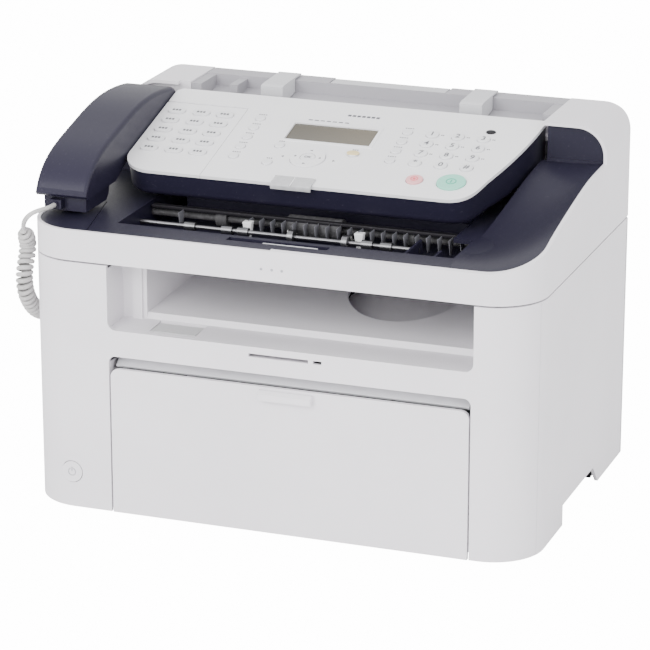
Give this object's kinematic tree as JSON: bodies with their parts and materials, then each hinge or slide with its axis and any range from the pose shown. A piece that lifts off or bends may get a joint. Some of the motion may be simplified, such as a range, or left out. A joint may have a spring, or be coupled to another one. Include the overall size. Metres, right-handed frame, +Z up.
{
  "type": "fax machine",
  "caption": "Desktop laser fax machine with curly-corded handset, hinged control panel and upper unit, document tray, output slot and paper tray door.",
  "frame": {"origin": "centre of the overall box at floor level, cord left out", "axes": "+X to the machine's right as seen from the front, -Y to the front, +Z up"},
  "size_m": [0.3885, 0.259, 0.2684],
  "materials": {
    "white_plastic": "fine moulded grain",
    "front_plastic": "fine moulded grain",
    "grey_plastic": "fine moulded grain",
    "dark_plastic": "moulded grain",
    "handset_plastic": "fine moulded grain",
    "key_plastic": "satin moulded",
    "start_plastic": "satin moulded",
    "stop_plastic": "satin moulded",
    "inner_plastic": "as moulded",
    "cord_plastic": "satin flexible sheath",
    "feet_rubber": "plain",
    "roller_rubber": "ground",
    "drum_coating": "polished",
    "steel": "plain",
    "board": "lacquered board",
    "display": "clear window over a dark display"
  },
  "bodies": {
    "base": {"base_frame": "inner_plastic", "front_panel": "front_plastic", "left_side_panel": "white_plastic", "right_side_panel": "white_plastic", "rear_panel": "grey_plastic", "rubber_feet": "feet_rubber", "output_tray": "front_plastic", "paper_tray": "grey_plastic", "fuser_unit": "inner_plastic", "laser_scanner": "inner_plastic", "toner_cartridge": "inner_plastic", "main_board": "board", "drive_motor": "steel", "socket_board": "inner_plastic", "cover_screws": "steel"},
    "upper_unit": {"upper_cover": "white_plastic", "top_deck": "dark_plastic", "document_tray": "grey_plastic", "handset_jack": "inner_plastic", "cord_leads": "cord_plastic", "cord_coil": "cord_plastic"},
    "control_panel": {"panel_plate": "white_plastic", "panel_skirt": "dark_plastic", "display_module": "display"},
    "handset": {"handset_shell": "handset_plastic", "handset_cover": "handset_plastic", "cord_plug": "cord_plastic"},
    "delivery_shaft_body": {"delivery_shaft": "steel"},
    "document_guide_left_body": {"document_guide_left": "grey_plastic"},
    "document_guide_right_body": {"document_guide_right": "grey_plastic"},
    "feed_roller_body": {"feed_roller": "roller_rubber"},
    "function_keys_body": {"function_keys": "key_plastic"},
    "fuser_roller_body": {"fuser_roller": "roller_rubber"},
    "hook_switch_body": {"hook_switch": "handset_plastic"},
    "imaging_drum_body": {"imaging_drum": "drum_coating"},
    "key_0_body": {"key_0": "key_plastic"},
    "key_1_body": {"key_1": "key_plastic"},
    "key_2_body": {"key_2": "key_plastic"},
    "key_3_body": {"key_3": "key_plastic"},
    "key_4_body": {"key_4": "key_plastic"},
    "key_5_body": {"key_5": "key_plastic"},
    "key_6_body": {"key_6": "key_plastic"},
    "key_7_body": {"key_7": "key_plastic"},
    "key_8_body": {"key_8": "key_plastic"},
    "key_9_body": {"key_9": "key_plastic"},
    "key_hash_body": {"key_hash": "key_plastic"},
    "key_star_body": {"key_star": "key_plastic"},
    "nav_ring_body": {"nav_ring": "white_plastic"},
    "ok_key_body": {"ok_key": "key_plastic"},
    "one_touch_flap_body": {"one_touch_flap": "white_plastic"},
    "one_touch_keys_body": {"one_touch_keys": "key_plastic"},
    "output_stopper_body": {"output_stopper": "grey_plastic"},
    "paper_guide_left_body": {"paper_guide_left": "grey_plastic"},
    "paper_guide_right_body": {"paper_guide_right": "grey_plastic"},
    "pickup_roller_body": {"pickup_roller": "roller_rubber"},
    "power_button_body": {"power_button": "grey_plastic"},
    "start_key_body": {"start_key": "start_plastic"},
    "stop_key_body": {"stop_key": "stop_plastic"},
    "tray_door_body": {"tray_door": "front_plastic"},
    "tray_extension_body": {"tray_extension": "grey_plastic"}
  },
  "joints": [
    {"name": "upper_hinge", "type": "hinge", "parent": "base", "child": "upper_unit", "pos_m": [0, 0.122, 0.184], "axis": [-1, 0, 0], "range_deg": [0, 40]},
    {"name": "panel_hinge", "type": "hinge", "parent": "upper_unit", "child": "control_panel", "pos_m": [0, 0.068, 0.255], "axis": [-1, 0, 0], "range_deg": [0, 37]},
    {"name": "handset_lift", "type": "slide", "parent": "upper_unit", "child": "handset", "axis": [0, 0, 1], "range_m": [0, 0.12]},
    {"name": "tray_door_hinge", "type": "hinge", "parent": "base", "child": "tray_door_body", "pos_m": [0, -0.118, 0.008], "axis": [1, 0, 0], "range_deg": [0, 85]},
    {"name": "power_button_press", "type": "slide", "parent": "base", "child": "power_button_body", "axis": [0, 1, 0], "range_m": [0, 0.0015], "stiffness_N_per_m": 400},
    {"name": "paper_guide_left_slide", "type": "slide", "parent": "base", "child": "paper_guide_left_body", "axis": [1, 0, 0], "range_m": [0, 0.034]},
    {"name": "paper_guide_right_slide", "type": "slide", "parent": "base", "child": "paper_guide_right_body", "axis": [-1, 0, 0], "range_m": [0, 0.034]},
    {"name": "pickup_roller_turn", "type": "hinge", "parent": "base", "child": "pickup_roller_body", "pos_m": [0, 0.04, 0.078], "axis": [1, 0, 0], "continuous": true},
    {"name": "imaging_drum_turn", "type": "hinge", "parent": "base", "child": "imaging_drum_body", "pos_m": [0, 0.066, 0.122], "axis": [1, 0, 0], "continuous": true},
    {"name": "fuser_roller_turn", "type": "hinge", "parent": "base", "child": "fuser_roller_body", "pos_m": [0, 0.096, 0.158], "axis": [-1, 0, 0], "continuous": true},
    {"name": "output_stopper_hinge", "type": "hinge", "parent": "base", "child": "output_stopper_body", "pos_m": [-0.075, -0.0996, 0.1362], "axis": [-1, 0, 0], "range_deg": [0, 60]},
    {"name": "hook_switch_press", "type": "slide", "parent": "upper_unit", "child": "hook_switch_body", "axis": [0, 0, -1], "range_m": [0, 0.002], "stiffness_N_per_m": 100},
    {"name": "document_guide_left_slide", "type": "slide", "parent": "upper_unit", "child": "document_guide_left_body", "axis": [1, 0, 0], "range_m": [-0.016, 0.016]},
    {"name": "document_guide_right_slide", "type": "slide", "parent": "upper_unit", "child": "document_guide_right_body", "axis": [-1, 0, 0], "range_m": [-0.016, 0.016]},
    {"name": "tray_extension_hinge", "type": "hinge", "parent": "upper_unit", "child": "tray_extension_body", "pos_m": [0.003, 0.122, 0.2626], "axis": [-1, 0, 0], "range_deg": [0, 110]},
    {"name": "feed_roller_turn", "type": "hinge", "parent": "upper_unit", "child": "feed_roller_body", "pos_m": [0, -0.033, 0.1975], "axis": [1, 0, 0], "continuous": true},
    {"name": "delivery_shaft_turn", "type": "hinge", "parent": "upper_unit", "child": "delivery_shaft_body", "pos_m": [0, -0.056, 0.1965], "axis": [1, 0, 0], "continuous": true},
    {"name": "one_touch_flap_hinge", "type": "hinge", "parent": "control_panel", "child": "one_touch_flap_body", "pos_m": [-0.0836, 0.0492, 0.255], "axis": [-1, 0, 0], "range_deg": [0, 95]},
    {"name": "key_0_press", "type": "slide", "parent": "control_panel", "child": "key_0_body", "axis": [0, 0.2588, -0.9659], "range_m": [0, 0.0008], "stiffness_N_per_m": 1200},
    {"name": "key_1_press", "type": "slide", "parent": "control_panel", "child": "key_1_body", "axis": [0, 0.2588, -0.9659], "range_m": [0, 0.0008], "stiffness_N_per_m": 1200},
    {"name": "key_2_press", "type": "slide", "parent": "control_panel", "child": "key_2_body", "axis": [0, 0.2588, -0.9659], "range_m": [0, 0.0008], "stiffness_N_per_m": 1200},
    {"name": "key_3_press", "type": "slide", "parent": "control_panel", "child": "key_3_body", "axis": [0, 0.2588, -0.9659], "range_m": [0, 0.0008], "stiffness_N_per_m": 1200},
    {"name": "key_4_press", "type": "slide", "parent": "control_panel", "child": "key_4_body", "axis": [0, 0.2588, -0.9659], "range_m": [0, 0.0008], "stiffness_N_per_m": 1200},
    {"name": "key_5_press", "type": "slide", "parent": "control_panel", "child": "key_5_body", "axis": [0, 0.2588, -0.9659], "range_m": [0, 0.0008], "stiffness_N_per_m": 1200},
    {"name": "key_6_press", "type": "slide", "parent": "control_panel", "child": "key_6_body", "axis": [0, 0.2588, -0.9659], "range_m": [0, 0.0008], "stiffness_N_per_m": 1200},
    {"name": "key_7_press", "type": "slide", "parent": "control_panel", "child": "key_7_body", "axis": [0, 0.2588, -0.9659], "range_m": [0, 0.0008], "stiffness_N_per_m": 1200},
    {"name": "key_8_press", "type": "slide", "parent": "control_panel", "child": "key_8_body", "axis": [0, 0.2588, -0.9659], "range_m": [0, 0.0008], "stiffness_N_per_m": 1200},
    {"name": "key_9_press", "type": "slide", "parent": "control_panel", "child": "key_9_body", "axis": [0, 0.2588, -0.9659], "range_m": [0, 0.0008], "stiffness_N_per_m": 1200},
    {"name": "key_hash_press", "type": "slide", "parent": "control_panel", "child": "key_hash_body", "axis": [0, 0.2588, -0.9659], "range_m": [0, 0.0008], "stiffness_N_per_m": 1200},
    {"name": "key_star_press", "type": "slide", "parent": "control_panel", "child": "key_star_body", "axis": [0, 0.2588, -0.9659], "range_m": [0, 0.0008], "stiffness_N_per_m": 1200},
    {"name": "function_keys_press", "type": "slide", "parent": "control_panel", "child": "function_keys_body", "axis": [0, 0.2588, -0.9659], "range_m": [0, 0.0008], "stiffness_N_per_m": 1200},
    {"name": "stop_key_press", "type": "slide", "parent": "control_panel", "child": "stop_key_body", "axis": [0, 0.2588, -0.9659], "range_m": [0, 0.0008], "stiffness_N_per_m": 1200},
    {"name": "start_key_press", "type": "slide", "parent": "control_panel", "child": "start_key_body", "axis": [0, 0.2588, -0.9659], "range_m": [0, 0.0008], "stiffness_N_per_m": 1200},
    {"name": "nav_ring_press", "type": "slide", "parent": "control_panel", "child": "nav_ring_body", "axis": [0, 0.2588, -0.9659], "range_m": [0, 0.0008], "stiffness_N_per_m": 1200},
    {"name": "ok_key_press", "type": "slide", "parent": "control_panel", "child": "ok_key_body", "axis": [0, 0.2588, -0.9659], "range_m": [0, 0.0008], "stiffness_N_per_m": 1200},
    {"name": "one_touch_keys_press", "type": "slide", "parent": "one_touch_flap_body", "child": "one_touch_keys_body", "axis": [0, 0.2588, -0.9659], "range_m": [0, 0.0008], "stiffness_N_per_m": 1200}
  ],
  "couplings": [
    {"joint": "paper_guide_right_slide", "follows": "paper_guide_left_slide", "ratio": 1},
    {"joint": "fuser_roller_turn", "follows": "imaging_drum_turn", "ratio": 1.5},
    {"joint": "document_guide_right_slide", "follows": "document_guide_left_slide", "ratio": 1},
    {"joint": "delivery_shaft_turn", "follows": "feed_roller_turn", "ratio": 1.6}
  ]
}
